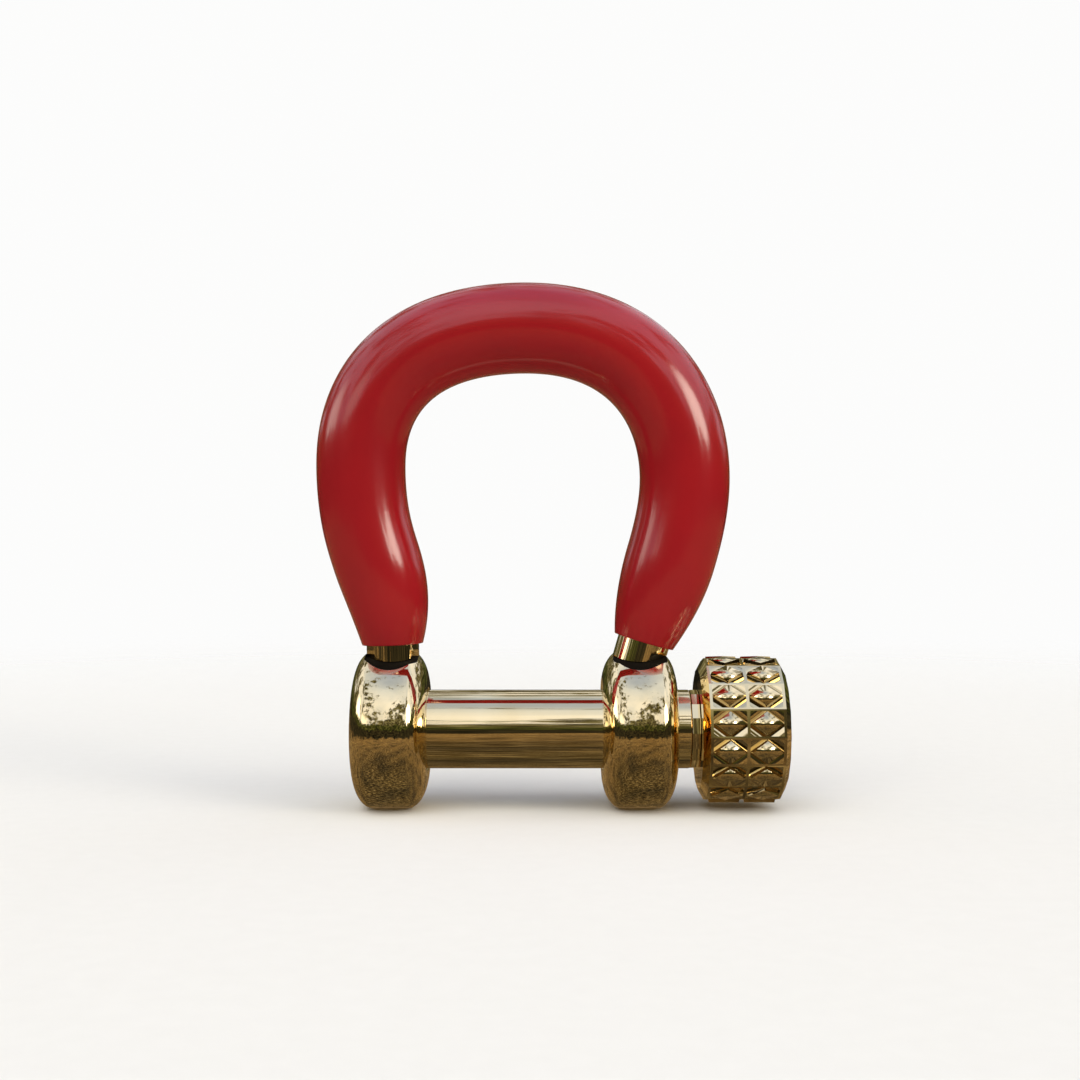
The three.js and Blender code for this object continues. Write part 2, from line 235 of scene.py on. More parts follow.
def rounded(corners, steps=4):
    """An outline with its corners rounded. Each corner is (x, r, rounding)."""
    out = []
    for i, (x, r, rounding) in enumerate(corners):
        here = Vector((x, r))
        before = Vector(corners[i - 1][:2]) - here
        after = Vector(corners[(i + 1) % len(corners)][:2]) - here
        if rounding <= 0 or before.length < 1e-6 or after.length < 1e-6:
            out.append((x, r))
            continue
        half = before.angle(after) / 2
        reach = min(rounding / math.tan(half), before.length / 2, after.length / 2)
        start = here + before.normalized() * reach
        end = here + after.normalized() * reach
        for k in range(steps + 1):
            t = k / steps
            p = start.lerp(here, t).lerp(here.lerp(end, t), t)
            out.append((p.x, p.y))
    return out


def turned(name, outline, sides=96, at_x=0.0, sharp_degrees=32.0):
    """A tube turned round the pin's axis from a closed outline of (x, radius)."""
    rings = [circle_x(x + at_x, r, sides) for x, r in outline]
    points, faces = loft(rings, joined_ends=True)
    return mesh_object(name, points, faces, sharp_degrees)


# ---- the bow

RIGHT_LEAN = math.radians(14.5)
FOOT_PULL = 10.4
LEFT_FOOT = Vector((-25.0, 31.0))
LEFT_SHOULDER = Vector((-31.65, 71.0))
CROWN = Vector((2.5, 98.2))
RIGHT_SHOULDER = Vector((34.85, 67.3))
RIGHT_FOOT = Vector((25.8, 32.0))
FOOT_HANDLE = Vector((FOOT_PULL * math.sin(RIGHT_LEAN), FOOT_PULL * math.cos(RIGHT_LEAN)))

# Start, its handle, the end's handle and the end of each stretch of the middle line.
BOW_SPANS = [
    (LEFT_FOOT, Vector((0, 20.5)), Vector((0, -21.2)), LEFT_SHOULDER),
    (LEFT_SHOULDER, Vector((0, 7.6)), Vector((-31, 0)), CROWN),
    (CROWN, Vector((22.5, 0)), Vector((0, 16)), RIGHT_SHOULDER),
    (RIGHT_SHOULDER, Vector((0, -11.7)), FOOT_HANDLE, RIGHT_FOOT),
]
SPAN_POINTS = 80
LINE_STEP = 0.5
LINE_EASE = 60  # passes that even out the bends where two stretches meet


def bezier(span, t):
    """A place on one stretch, with t running from 0 to 1."""
    start, out_handle, in_handle, end = span
    a, b, c, d = start, start + out_handle, end + in_handle, end
    s = 1 - t
    return a * s**3 + b * (3 * s * s * t) + c * (3 * s * t * t) + d * t**3


def even_steps(points, step):
    """The same line with points an even distance apart."""
    lengths = [0.0]
    for p, q in zip(points, points[1:]):
        lengths.append(lengths[-1] + (q - p).length)
    count = round(lengths[-1] / step)
    out = []
    k = 0
    for i in range(count + 1):
        at = lengths[-1] * i / count
        while k < len(points) - 2 and lengths[k + 1] < at:
            k += 1
        share = (at - lengths[k]) / (lengths[k + 1] - lengths[k])
        out.append(points[k].lerp(points[k + 1], share))
    return out


def bow_line():
    """The bow's middle line, from the left foot to the right one."""
    dense = [bezier(span, i / SPAN_POINTS) for span in BOW_SPANS for i in range(SPAN_POINTS)]
    dense.append(RIGHT_FOOT.copy())
    line = even_steps(dense, LINE_STEP)
    for _ in range(LINE_EASE):
        line = (
            [line[0]]
            + [(a + b * 2 + c) / 4 for a, b, c in zip(line, line[1:], line[2:])]
            + [line[-1]]
        )
    return line


BOW = bow_line()
BOW_LENGTH = sum((b - a).length for a, b in zip(BOW, BOW[1:]))


def on_bow(at):
    """Place and direction on the middle line, run on straight past its ends."""
    step = BOW_LENGTH / (len(BOW) - 1)
    k = min(max(int(at / step), 0), len(BOW) - 2)
    first, second = BOW[k], BOW[k + 1]
    share = at / step - k
    before, after = BOW[max(k - 1, 0)], BOW[min(k + 2, len(BOW) - 1)]
    inside = min(max(share, 0.0), 1.0)
    heading = (second - before).lerp(after - first, inside).normalized()
    return first + (second - first) * share, heading


def bow_ring(at, radius, sides):
    """A ring of points round the middle line."""
    place, heading = on_bow(at)
    ring = []
    for j in range(sides):
        angle = 2 * math.pi * j / sides
        aside = radius * math.cos(angle)
        ring.append((
            place.x + MIDDLE - heading.y * aside,
            radius * math.sin(angle),
            place.y + heading.x * aside,
        ))
    return ring


def sleeve_radius(at):
    """Outside of the sleeve: a little slimmer on the legs, tapering at both ends."""
    start, end = SLEEVE_STARTS[0], BOW_LENGTH - SLEEVE_STARTS[1]
    share = (at - start) / (end - start)
    if share > 0.5:
        full = SLEEVE_RADIUS - SLEEVE_RIGHT_DIP * math.sin(math.pi * (share - 0.5)) ** 2
    else:
        full = SLEEVE_RADIUS - SLEEVE_LEFT_DIP * math.cos(math.pi * share) ** 2
    narrowing = max(0.0, 1 - min(at - start, end - at) / SLEEVE_TAPER)
    return full - (full - SLEEVE_END_RADIUS) * narrowing**2


def build_sleeve():
    """A tube round the rod, with a wider mouth and a rounded lip at each end."""
    start, end = SLEEVE_STARTS[0], BOW_LENGTH - SLEEVE_STARTS[1]
    sides = 72
    skin_steps = 190
    bore_steps = 90
    lip_steps = 5

    def lip(edge, inward):
        """From the mouth round the lip to the outside, at one end."""
        wall = sleeve_radius(edge + inward * SLEEVE_LIP) - SLEEVE_MOUTH_RADIUS
        out = []
        for k in range(lip_steps + 1):
            angle = math.pi * k / lip_steps
            r = SLEEVE_MOUTH_RADIUS + wall / 2 - math.cos(angle) * wall / 2
            out.append((edge + inward * (SLEEVE_LIP - math.sin(angle) * SLEEVE_LIP), r))
        return out

    def mouth(edge, inward):
        """Where the mouth ends and where the bore has narrowed, at one end."""
        deep = edge + inward * SLEEVE_MOUTH_DEPTH
        return [(deep, SLEEVE_MOUTH_RADIUS), (deep + inward * SLEEVE_MOUTH_SLOPE, SLEEVE_BORE)]

    outline = list(reversed(mouth(start, 1))) + lip(start, 1)
    first, last = start + SLEEVE_LIP, end - SLEEVE_LIP
    for i in range(1, skin_steps):
        at = first + (last - first) * i / skin_steps
        outline.append((at, sleeve_radius(at)))
    outline += list(reversed(lip(end, -1))) + mouth(end, -1)
    inset = SLEEVE_MOUTH_DEPTH + 2
    first, last = end - inset, start + inset
    for i in range(bore_steps + 1):
        outline.append((first + (last - first) * i / bore_steps, SLEEVE_BORE))
    rings = [bow_ring(at, r, sides) for at, r in outline]
    points, faces = loft(rings, joined_ends=True)
    return mesh_object("sleeve_skin", points, faces, 50.0)


def build_rod():
    """The bent bar, its ends cut to the ears' curve and run on into them."""
    sides = 64
    steps = 180
    core = ROD_RADIUS - ROD_BEVEL
    first, last = 1.5, BOW_LENGTH - 1.5

    def foot_ring(at, radius, reach):
        """A ring slid along the rod's end until it lies at one distance from the pin's axis."""
        heading = on_bow(at)[1]
        ring = []
        for x, y, z in bow_ring(at, radius, sides):
            height = AXIS_Z + math.sqrt(reach**2 - y**2)
            ring.append((x + heading.x * (height - z) / heading.y, y, height))
        return ring

    def foot(at, deep):
        """From inside the ear out to the rod's bevelled edge."""
        return [
            bow_ring(deep, core, sides),
            foot_ring(at, core, ROD_EDGE - ROD_BEVEL),
            foot_ring(at, ROD_RADIUS, ROD_EDGE),
        ]

    rings = foot(0.0, -ROD_RUN_IN)
    for i in range(steps + 1):
        rings.append(bow_ring(first + (last - first) * i / steps, ROD_RADIUS, sides))
    rings += reversed(foot(BOW_LENGTH, BOW_LENGTH + ROD_RUN_IN))
    points, faces = loft(rings)
    return mesh_object("rod_bar", points, faces, 50.0)


# ---- the ears

EAR_SIDES = 128
BORE_EDGE = 0.3
SURFACE_SLACK = 0.06  # how far the middle of a facet may lie off the round outline


def ear_dome():
    """Half outline of an ear's outside, from the spot face out to the rim's flat band."""
    bulge_share = 1 - ((JAW_FACE_RADIUS - EAR_RIM_SET_BACK) / EAR_RADIUS) ** EAR_RIM_POWER
    rim_share = 1 - ((EAR_RADIUS - EAR_RIM_SET_BACK) / EAR_RADIUS) ** EAR_RIM_POWER
    top = bulge_share ** (1 / EAR_CROWN_POWER)
    bottom = rim_share ** (1 / EAR_CROWN_POWER)
    side = []
    steps = 44
    for i in range(steps + 1):
        w = top + (bottom - top) * i / steps
        r = EAR_RADIUS * (1 - w**EAR_CROWN_POWER) ** (1 / EAR_RIM_POWER) + EAR_RIM_SET_BACK
        x = EAR_LAND / 2 + (EAR_HALF - EAR_LAND / 2) * (w - bottom) / (top - bottom)
        side.append((x, min(r, EAR_RADIUS)))
    return side


def ear_outside():
    """Outline from the inner side's spot face over the rim to the outer side's."""
    dome = ear_dome()
    outer = [(-x, r) for x, r in reversed(dome)]
    band = [(EAR_LAND / 2 - EAR_LAND * k / 6, EAR_RADIUS) for k in range(1, 6)]
    return dome + band + outer


def ear_lean(offset, dome):
    """Where the ear's outside lies and how far it leans, at a distance from its middle."""
    if offset <= EAR_LAND / 2:
        return EAR_RADIUS, BAND_LEAN * offset / (EAR_LAND / 2)
    for (x0, r0), (x1, r1), (x2, r2) in zip(dome, dome[1:], dome[2:]):
        if x1 <= offset:
            break
    share = min(max((offset - x1) / (x0 - x1), 0.0), 1.0)
    outer = math.atan2(r2 - r1, x1 - x2)
    inner = math.atan2(r1 - r0, x0 - x1)
    return r1 + (r0 - r1) * share, outer + (inner - outer) * (0.5 + share / 2)


def ear_normal(place, middle, lean):
    """Out of the ear at a place on it, leaning away from the ear's middle plane."""
    out = Vector((0, place.y, place.z - AXIS_Z)).normalized()
    aside = math.copysign(math.sin(lean), place.x - middle)
    return out * math.cos(lean) + Vector((aside, 0, 0))


def crowned(piece, ear_x):
    """Shades the ear's outside by its outline, its flat band as if slightly crowned."""
    weigh_normals(piece)
    middle = ear_x + MIDDLE
    dome = ear_dome()

    def adjust(face, place):
        """The outline's normal on the outside, and nothing on spot faces, bores and slots."""
        centre = face.center / MM
        reach = math.hypot(centre.y, centre.z - AXIS_Z)
        radius, lean = ear_lean(abs(centre.x - middle), dome)
        along = face.normal.dot(ear_normal(centre, middle, lean))
        if abs(reach - radius) > SURFACE_SLACK or along < 0.94:
            return None
        return ear_normal(place, middle, ear_lean(abs(place.x - middle), dome)[1])

    return settle_normals(piece, adjust)


def cut_pocket(piece, foot, lean):
    """Sinks the slot that the rod's foot stands in, longer in front of the rod."""
    steps = 14
    first_turn = math.radians(4)
    above = EAR_RADIUS + 2
    front = []
    for i in range(steps + 1):
        turn = first_turn + (math.pi / 2 - first_turn) * i / steps
        front.append((-POCKET_REACH - POCKET_HALF * math.cos(turn), POCKET_HALF * math.sin(turn)))
    back = [(-y - POCKET_REACH, half) for y, half in reversed(front)]
    between = [(POCKET_REACH * (k / 4 - 1), POCKET_HALF) for k in range(1, 4)]
    rings = []
    for y, half in front + between + back:
        floor = math.sqrt(POCKET_FLOOR**2 - y**2)
        ring = []
        for rise, side in ((floor, -1), (floor, 1), (above, 1), (above, -1)):
            middle = foot.x + MIDDLE + math.tan(lean) * (AXIS_Z + rise - foot.y)
            ring.append((middle + side * half / math.cos(lean), y, AXIS_Z + rise))
        rings.append(ring)
    points, faces = loft(rings)
    cutter = mesh_object("pocket_cutter", points, faces, 0)
    cut = piece.modifiers.new("pocket", "BOOLEAN")
    cut.operation = "DIFFERENCE"
    cut.solver = "EXACT"
    cut.object = cutter
    shown = piece.evaluated_get(bpy.context.evaluated_depsgraph_get())
    piece.data = bpy.data.meshes.new_from_object(shown)
    piece.data.name = piece.name
    piece.modifiers.clear()
    bpy.data.objects.remove(cutter)
    piece.data.set_sharp_from_angle(angle=math.radians(30))
    return piece


def paint_slot_shade(piece, foot, look):
    """Gives the slot's floor and its front and back ends the near-black painted shade."""
    piece.data.materials.append(look)
    dome = ear_dome()
    middle = (LEFT if foot.x < 0 else RIGHT) + MIDDLE
    for face in piece.data.polygons:
        centre = face.center / MM
        reach = math.hypot(centre.y, centre.z - AXIS_Z)
        if centre.z < AXIS_Z + JAW_FACE_RADIUS or reach < POCKET_FLOOR - 0.1:
            continue
        offset = abs(centre.x - middle)
        radius, lean = ear_lean(offset, dome)
        along = face.normal.dot(ear_normal(centre, middle, lean))
        sunk = reach < radius - SURFACE_SLACK or along < 0.80
        if sunk and offset < POCKET_HALF + 1.0 and abs(face.normal.x) < 0.5:
            face.material_index = 1


def build_left_ear():
    """Its inner side points to +X, with the barrel's seat and the tapped hole."""
    rows_per_turn = 10
    seat = EAR_HALF - BARREL_SEAT
    bottom = EAR_HALF - TAPPED_DEPTH
    outline = [(-EAR_HALF, 3.5), (-EAR_HALF, 7.0)] + list(reversed(ear_outside()))
    outline += rounded([
        (EAR_HALF, JAW_FACE_RADIUS - 0.4, 0),
        (EAR_HALF, PIN_RADIUS + GAP, BORE_EDGE),
        (seat, PIN_RADIUS + GAP, 0.1),
        (seat, SCREW_RADIUS + GAP + 0.5, 0),
    ])
    rings = [circle_x(x + LEFT, r, EAR_SIDES) for x, r in outline]
    first, last = seat - 0.5, bottom + 0.6
    rows = round((first - last) / SCREW_PITCH * rows_per_turn)
    for i in range(rows + 1):
        x = first - (first - last) * i / rows + LEFT
        rings.append(ring_x(x, lambda angle: thread_radius(x, angle) + GAP, EAR_SIDES))
    rings.append(circle_x(bottom + 0.4 + LEFT, SCREW_RADIUS - 1.0, EAR_SIDES))
    rings.append(circle_x(bottom - 1.6 + LEFT, 0.6, EAR_SIDES))
    points, faces = loft(rings)
    return mesh_object("left_ear_forging", points, faces, 30.0)


def build_right_ear():
    """Its inner side points to -X. The barrel runs through it."""
    bore = PIN_RADIUS + GAP
    outline = ear_outside()
    outline += rounded([
        (-EAR_HALF, JAW_FACE_RADIUS - 0.4, 0),
        (-EAR_HALF, bore, BORE_EDGE),
        (EAR_HALF, bore, BORE_EDGE),
        (EAR_HALF, JAW_FACE_RADIUS - 0.4, 0),
    ])
    return turned("right_ear_forging", outline, EAR_SIDES, RIGHT, 30.0)


def build_dowel(name, ear_x, side):
    """A round pin end that follows the ear's dome, a hair proud of it."""
    proud = 0.04
    edge = 0.1
    sides = 32
    dome = ear_dome()
    profile = [(1.0, -2.0), (1.0, proud - edge), (0.93, proud), (0.5, proud), (0.1, proud)]

    def dome_x(r):
        """How far the dome stands out at a radius from the pin's axis."""
        for (x0, r0), (x1, r1) in zip(dome, dome[1:]):
            if r <= r1:
                return x0 + (x1 - x0) * (r - r0) / max(r1 - r0, 1e-9)
        return EAR_LAND / 2

    rings = []
    for share, lift in profile:
        ring = []
        for j in range(sides):
            angle = 2 * math.pi * j / sides
            y = DOWEL_RADIUS * share * math.sin(angle)
            z = DOWEL_HEIGHT + DOWEL_RADIUS * share * math.cos(angle)
            out = dome_x(math.hypot(y, z)) + lift
            ring.append((ear_x + side * out + MIDDLE, y, AXIS_Z + z))
        rings.append(ring)
    points, faces = loft(rings)
    return mesh_object(name, points, faces, 40.0)


# ---- the pin

THREAD_END = BOLT_START + SCREW_TURNS * SCREW_PITCH


def thread_radius(x, angle):
    """Surface of the right-hand thread at a place along and an angle round the axis."""
    turns = (x - BOLT_START) / SCREW_PITCH - angle / (2 * math.pi)
    wave = abs(2 * (turns - math.floor(turns)) - 1)
    cut = min(max((wave - THREAD_CREST) / THREAD_FLANK, 0.0), 1.0)
    return SCREW_RADIUS - THREAD_DEPTH * cut


def build_barrel():
    """A tube on the screw's shank, with room at its left end for the thread to draw in."""
    bore, pocket = SHANK_RADIUS + GAP, SCREW_RADIUS + GAP
    pocket_end = THREAD_END + SCREW_TURNS * SCREW_PITCH + GAP
    outline = rounded([
        (BARREL_START, PIN_RADIUS, 0.35),
        (BARREL_END, PIN_RADIUS, 0.25),
        (BARREL_END, bore, 0.2),
        (pocket_end, bore, 0.0),
        (pocket_end, pocket, 0.0),
        (BARREL_START, pocket, 0.25),
    ])
    return turned("barrel_tube", outline, 128)


def build_collar():
    """A short ring with the knob's sixteen sides."""
    outline = rounded([
        (COLLAR_START, PIN_RADIUS, 0.12),
        (COLLAR_END, PIN_RADIUS, 0.12),
        (COLLAR_END, SHANK_RADIUS + GAP, 0.0),
        (COLLAR_START, SHANK_RADIUS + GAP, 0.0),
    ], 2)
    return turned("collar_ring", outline, KNOB_SIDES, 0.0, 20.0)


def build_bolt():
    """The screw: chamfered tip, thread, plain shank and the knob's D-shaped seat."""
    sides = 96
    tip = 0.6
    edge = 0.4
    rows = SCREW_TURNS * 12
    first, last = BOLT_START + tip * 0.6, THREAD_END - tip * 0.6

    def threaded(x):
        """A ring of the thread, held in where the tip tapers."""
        limit = SHANK_RADIUS - tip + 0.3 + (x - BOLT_START) / tip
        return ring_x(x, lambda angle: min(thread_radius(x, angle), limit), sides)

    rings = [
        circle_x(BOLT_START, 1.0, sides),
        circle_x(BOLT_START, SHANK_RADIUS - tip, sides),
    ]
    rings += [threaded(first + (last - first) * i / rows) for i in range(rows + 1)]
    rings += [
        circle_x(THREAD_END + 0.3, SHANK_RADIUS, sides),
        circle_x(KNOB_START - edge, SHANK_RADIUS, sides),
        circle_x(KNOB_START, SEAT_RADIUS, sides),
        circle_x(BOLT_END - edge, SEAT_RADIUS, sides),
        circle_x(BOLT_END, SEAT_RADIUS - edge, sides),
    ]
    points, faces = loft(rings)
    flattened = []
    for x, y, z in points:
        if x > KNOB_START + MIDDLE - 0.01:
            z = min(z, AXIS_Z + SEAT_FLAT)
        flattened.append((x, y, z))
    return mesh_object("bolt_shaft", flattened, faces, 40.0)


# ---- the knob

QUARTERS = ((1, 1), (-1, 1), (-1, -1), (1, -1))
HOLE_SIDES = KNOB_SIDES * 4


def facet_angle(facet):
    """Which way round the axis the middle of one of the knob's sides lies."""
    return 2 * math.pi * (facet + 0.5) / KNOB_SIDES


def facet_point(facet, x, across, height):
    """A point on one of the knob's sides, from its place along, across and above it."""
    angle = facet_angle(facet)
    out = KNOB_FLAT + height
    y = out * math.sin(angle) + across * math.cos(angle)
    z = out * math.cos(angle) - across * math.sin(angle)
    return (x + MIDDLE, y, AXIS_Z + z)


class Shell:
    """Collects the knob's points and faces, the group that each face is smoothed with and
    any shading normals that it has of its own."""

    def __init__(self):
        self.points = []
        self.faces = []
        self.smooth_groups = []
        self.normals = []

    def add(self, corners, group, normals=None):
        start = len(self.points)
        self.points.extend(corners)
        self.faces.append(tuple(range(start, start + len(corners))))
        self.smooth_groups.append(group)
        self.normals.append(normals)

    def band(self, first, second, group):
        """A strip of faces between two rings with the same number of points."""
        count = len(first)
        for j in range(count):
            k = (j + 1) % count
            self.add([first[j], first[k], second[k], second[j]], group)

    def face_ring(self, x, outer_radius, inner_radius, group):
        """Flat end face between the knob's sixteen-sided edge and a round hole."""
        edge = circle_x(x, outer_radius, KNOB_SIDES)
        hole = circle_x(x, inner_radius, HOLE_SIDES)
        for j in range(KNOB_SIDES):
            k = (j + 1) % KNOB_SIDES
            arc = [hole[(4 * j + m) % HOLE_SIDES] for m in range(5)]
            self.add([edge[j], edge[k]] + list(reversed(arc)), group)


def add_cell(shell, facet, middle):
    """One framed cell of the knob's band: four sunk pit floors and a raised diamond, with
    shading normals that lean so that both catch the surroundings as cut facets do."""
    base_x, base_y = STUD_BASE
    top_x, top_y = STUD_TOP
    cell = f"{facet}_{middle:.1f}"
    side_height = math.sqrt((KNOB_FLAT + STUD_HEIGHT) ** 2 - top_y**2) - KNOB_FLAT
    angle = facet_angle(facet)
    out = Vector((0, math.sin(angle), math.cos(angle)))
    around = Vector((0, math.cos(angle), -math.sin(angle)))
    along = Vector((1, 0, 0))
    ways = [along, around, -along, -around]
    leaning = [out * math.cos(STUD_LEAN) + way * math.sin(STUD_LEAN) for way in ways]

    def at(x, across, height):
        return facet_point(facet, middle + x, across, height)

    tips = [(base_x, 0), (0, base_y), (-base_x, 0), (0, -base_y)]
    tops = [
        (top_x, 0, STUD_HEIGHT),
        (0, top_y, side_height),
        (-top_x, 0, STUD_HEIGHT),
        (0, -top_y, side_height),
    ]
    corners = [(x * base_x, y * base_y) for x, y in QUARTERS]
    outer = [(x * CELL / 2, y * KNOB_SIDE_HALF) for x, y in QUARTERS]
    for k, corner in enumerate(corners):
        n = (k + 1) % 4
        tip, next_tip = tips[k], tips[n]
        sunk_tip, sunk_next = at(*tip, -PIT_DEPTH), at(*next_tip, -PIT_DEPTH)
        inward = -along * math.copysign(PIT_LEAN_SHARES[0], corner[0])
        inward -= around * math.copysign(PIT_LEAN_SHARES[1], corner[1])
        sunk = out * math.cos(PIT_LEAN) + inward * math.sin(PIT_LEAN)
        shell.add([at(*corner, 0), sunk_tip, sunk_next], f"pit{cell}_{k}", [out, sunk, sunk])
        shell.add([at(*corner, 0), at(*tip, 0), sunk_tip], "wall")
        shell.add([at(*corner, 0), sunk_next, at(*next_tip, 0)], "wall")
        shell.add([sunk_tip, sunk_next, at(*tops[n]), at(*tops[k])], "wall")
        bar = [at(*outer[k], 0), at(*corner, 0), at(*next_tip, 0)]
        shell.add(bar + [at(*corners[n], 0), at(*outer[n], 0)], f"bar{facet}")
    for half in ((0, 1, 2), (2, 3, 0)):
        shell.add([at(*tops[k]) for k in half], f"stud{cell}", [leaning[k] for k in half])


def knob_shell():
    """All the knob's faces: its studded band, end faces, seat bore and screw recess."""
    shell = Shell()
    middle = (KNOB_START + KNOB_END) / 2
    for facet in range(KNOB_SIDES):
        for side in (-1, 1):
            add_cell(shell, facet, middle + side * CELL / 2)
            inner = middle + side * CELL
            outer = KNOB_END - KNOB_CHAMFER if side > 0 else KNOB_START + KNOB_CHAMFER
            shell.add([
                facet_point(facet, inner, -KNOB_SIDE_HALF, 0),
                facet_point(facet, inner, KNOB_SIDE_HALF, 0),
                facet_point(facet, outer, KNOB_SIDE_HALF, 0),
                facet_point(facet, outer, -KNOB_SIDE_HALF, 0),
            ], f"bar{facet}")

    recess_floor = SCREW_END - SCREW_HEAD_LENGTH - 0.1
    seat_radius = SEAT_RADIUS + GAP
    rim_radius = RECESS_RADIUS + RECESS_EDGE
    left_edge = circle_x(KNOB_START + KNOB_CHAMFER, KNOB_RADIUS, KNOB_SIDES)
    left_face = circle_x(KNOB_START, KNOB_FACE_RADIUS, KNOB_SIDES)
    right_edge = circle_x(KNOB_END - KNOB_CHAMFER, KNOB_RADIUS, KNOB_SIDES)
    right_face = circle_x(KNOB_END, KNOB_FACE_RADIUS, KNOB_SIDES)
    bore = [
        ("bore", (KNOB_START, seat_radius), (BOLT_END, seat_radius)),
        ("web", (BOLT_END, seat_radius), (BOLT_END, SCREW_HOLE_RADIUS)),
        ("hole", (BOLT_END, SCREW_HOLE_RADIUS), (recess_floor, SCREW_HOLE_RADIUS)),
        ("floor", (recess_floor, SCREW_HOLE_RADIUS), (recess_floor, RECESS_RADIUS)),
        ("recess", (recess_floor, RECESS_RADIUS), (KNOB_END - RECESS_EDGE, RECESS_RADIUS)),
        ("recess_edge", (KNOB_END - RECESS_EDGE, RECESS_RADIUS), (KNOB_END, rim_radius)),
    ]
    shell.band(left_edge, left_face, "chamfer")
    shell.face_ring(KNOB_START, KNOB_FACE_RADIUS, seat_radius, "left")
    for group, first, second in bore:
        shell.band(circle_x(*first, HOLE_SIDES), circle_x(*second, HOLE_SIDES), group)
    shell.face_ring(KNOB_END, KNOB_FACE_RADIUS, rim_radius, "right")
    shell.band(right_edge, right_face, "chamfer")
    return shell


def build_knob():
    """Makes the shell one mesh, sharp between its groups and at every wall."""
    shell = knob_shell()
    mesh = bpy.data.meshes.new("knob_body")
    mesh.from_pydata([Vector(p) * MM for p in shell.points], [], shell.faces)
    bm = bmesh.new()
    bm.from_mesh(mesh)
    groups = sorted(set(shell.smooth_groups))
    layer = bm.faces.layers.int.new("smooth_group")
    made_as = bm.faces.layers.int.new("made_as")
    bm.faces.ensure_lookup_table()
    for index, (face, group) in enumerate(zip(bm.faces, shell.smooth_groups)):
        face[layer] = groups.index(group)
        face[made_as] = index
        face.smooth = True
    bmesh.ops.remove_doubles(bm, verts=bm.verts, dist=1e-7)
    bmesh.ops.recalc_face_normals(bm, faces=bm.faces)
    wall = groups.index("wall")
    for edge in bm.edges:
        ids = [f[layer] for f in edge.link_faces]
        edge.smooth = len(ids) == 2 and ids[0] == ids[1] != wall
    bm.to_mesh(mesh)
    bm.free()
    normals = [Vector((0, 0, 0))] * len(mesh.loops)
    for face, index in zip(mesh.polygons, mesh.attributes["made_as"].data):
        # the stud walls take the second material: gold darkened as painted shade
        if shell.smooth_groups[index.value] == "wall":
            face.material_index = 1
        wanted = shell.normals[index.value]
        if wanted is None:
            continue
        corners = [Vector(shell.points[p]) * MM for p in shell.faces[index.value]]
        for corner in face.loop_indices:
            place = mesh.vertices[mesh.loops[corner].vertex_index].co
            closest = min(range(len(corners)), key=lambda c: (corners[c] - place).length)
            normals[corner] = wanted[closest]
    mesh.normals_split_custom_set(normals)
    return add_object("knob_body", mesh)


def build_end_screw():
    """Socket head cap screw: a knurled head with a hexagon socket."""
    sides = 144
    knurls = 36
    knurl_depth = 0.16
    head, shank, socket, socket_depth = 5.0, 3.0, 2.9, 2.4
    edge = 0.4
    seat = SCREW_END - SCREW_HEAD_LENGTH

    def knurled(x, radius, depth):
        return ring_x(
            x, lambda angle: radius - depth * (0.5 - 0.5 * math.cos(angle * knurls)), sides
        )

    def hexagon(x, radius):
        flat = radius * math.cos(math.pi / 6)
        return ring_x(
            x, lambda angle: flat / math.cos((angle % (math.pi / 3)) - math.pi / 6), sides
        )

    rings = [
        circle_x(SCREW_START, shank - 0.5, sides),
        circle_x(SCREW_START + 0.5, shank, sides),
        circle_x(seat, shank, sides),
        knurled(seat, head - 0.15, 0.0),
        knurled(seat + 0.25, head, knurl_depth),
        knurled(SCREW_END - 0.9, head, knurl_depth),
        knurled(SCREW_END - 0.6, head, 0.0),
        circle_x(SCREW_END - edge, head, sides),
        circle_x(SCREW_END - edge * 0.3, head - edge * 0.3, sides),
        circle_x(SCREW_END, head - edge, sides),
        circle_x(SCREW_END, socket + 0.25, sides),
        hexagon(SCREW_END - 0.3, socket),
        hexagon(SCREW_END - socket_depth, socket),
        circle_x(SCREW_END - socket_depth - 0.8, 0.5, sides),
    ]
    points, faces = loft(rings)
    return mesh_object("end_screw", points, faces, 28.0)


# ---- materials

BLACK = (0, 0, 0)
WHITE = (1, 1, 1)


